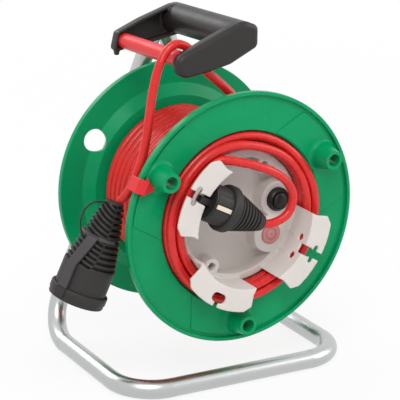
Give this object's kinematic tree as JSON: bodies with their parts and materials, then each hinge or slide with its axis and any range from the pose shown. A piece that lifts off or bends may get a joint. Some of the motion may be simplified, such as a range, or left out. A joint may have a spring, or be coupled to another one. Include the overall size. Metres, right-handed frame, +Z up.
{
  "type": "extension cord reel",
  "caption": "Cord reel with a flanged drum on a bent tube stand, side handle, stowed plug in a moulded nest and a capped rubber coupling",
  "frame": {"origin": "on the floor, under the middle of the stand and drum, front to back and side to side", "axes": "+Z up, drum axis along Y, plug side of the drum towards -Y"},
  "size_m": [0.3005, 0.2134, 0.3422],
  "materials": {
    "steel_tube": "bright zinc-plated tube, satin",
    "plated_steel": "zinc-plated sheet and fasteners",
    "black_plastic": "moulded, fine satin grain",
    "red_plastic": "moulded, satin",
    "cord_red": "smooth sheath, satin",
    "black_rubber": "ribbed rubber, matt",
    "green_plastic": "moulded, satin gloss",
    "grey_plastic": "moulded, satin",
    "lens_red": "translucent, ringed",
    "dark_plastic": "moulded, satin",
    "white_plastic": "moulded, satin",
    "brass_contact": "bare metal"
  },
  "bodies": {
    "stand": {"frame_tube": "steel_tube", "bearing_bracket": "plated_steel", "bracket_bolts": "plated_steel", "bracket_nuts": "plated_steel", "axle": "plated_steel", "axle_nut": "plated_steel", "axle_circlip": "plated_steel", "handle_body": "black_plastic", "guide_bar": "red_plastic", "handle_screws": "plated_steel", "cord_over_bar": "cord_red", "coupling_body": "black_rubber", "coupling_face": "dark_plastic", "coupling_contacts": "brass_contact", "cap_strap": "black_rubber", "tether_loop": "black_rubber"},
    "drum": {"rear_flange": "green_plastic", "front_flange": "green_plastic", "drum_core": "green_plastic", "bearing_bush": "white_plastic", "winding_core": "cord_red", "winding_turns": "cord_red", "plug_nest": "grey_plastic", "nest_screws": "plated_steel", "indicator_lens": "lens_red", "lamp_holder": "white_plastic", "thermal_cutout": "dark_plastic", "cutout_collar": "dark_plastic", "button_spring": "plated_steel", "terminal_block": "white_plastic", "front_coil": "cord_red", "plug_lead": "cord_red", "plug_body": "black_rubber", "plug_face": "dark_plastic", "plug_pins": "plated_steel", "earth_strips": "plated_steel", "latch_bar": "grey_plastic", "cord_clip": "red_plastic"},
    "button": {"reset_button": "dark_plastic"},
    "cap": {"coupling_cap": "black_rubber"}
  },
  "joints": [
    {"name": "drum_spin", "type": "hinge", "parent": "stand", "child": "drum", "pos_m": [0, -0.0067, 0.16], "axis": [0, 1, 0], "continuous": true},
    {"name": "reset_press", "type": "slide", "parent": "drum", "child": "button", "axis": [0, 1, 0], "range_m": [0, 0.0025], "stiffness_N_per_m": 300},
    {"name": "cap_pull", "type": "slide", "parent": "stand", "child": "cap", "axis": [-0.3648, 0.0663, -0.9287], "range_m": [0, 0.024]}
  ]
}
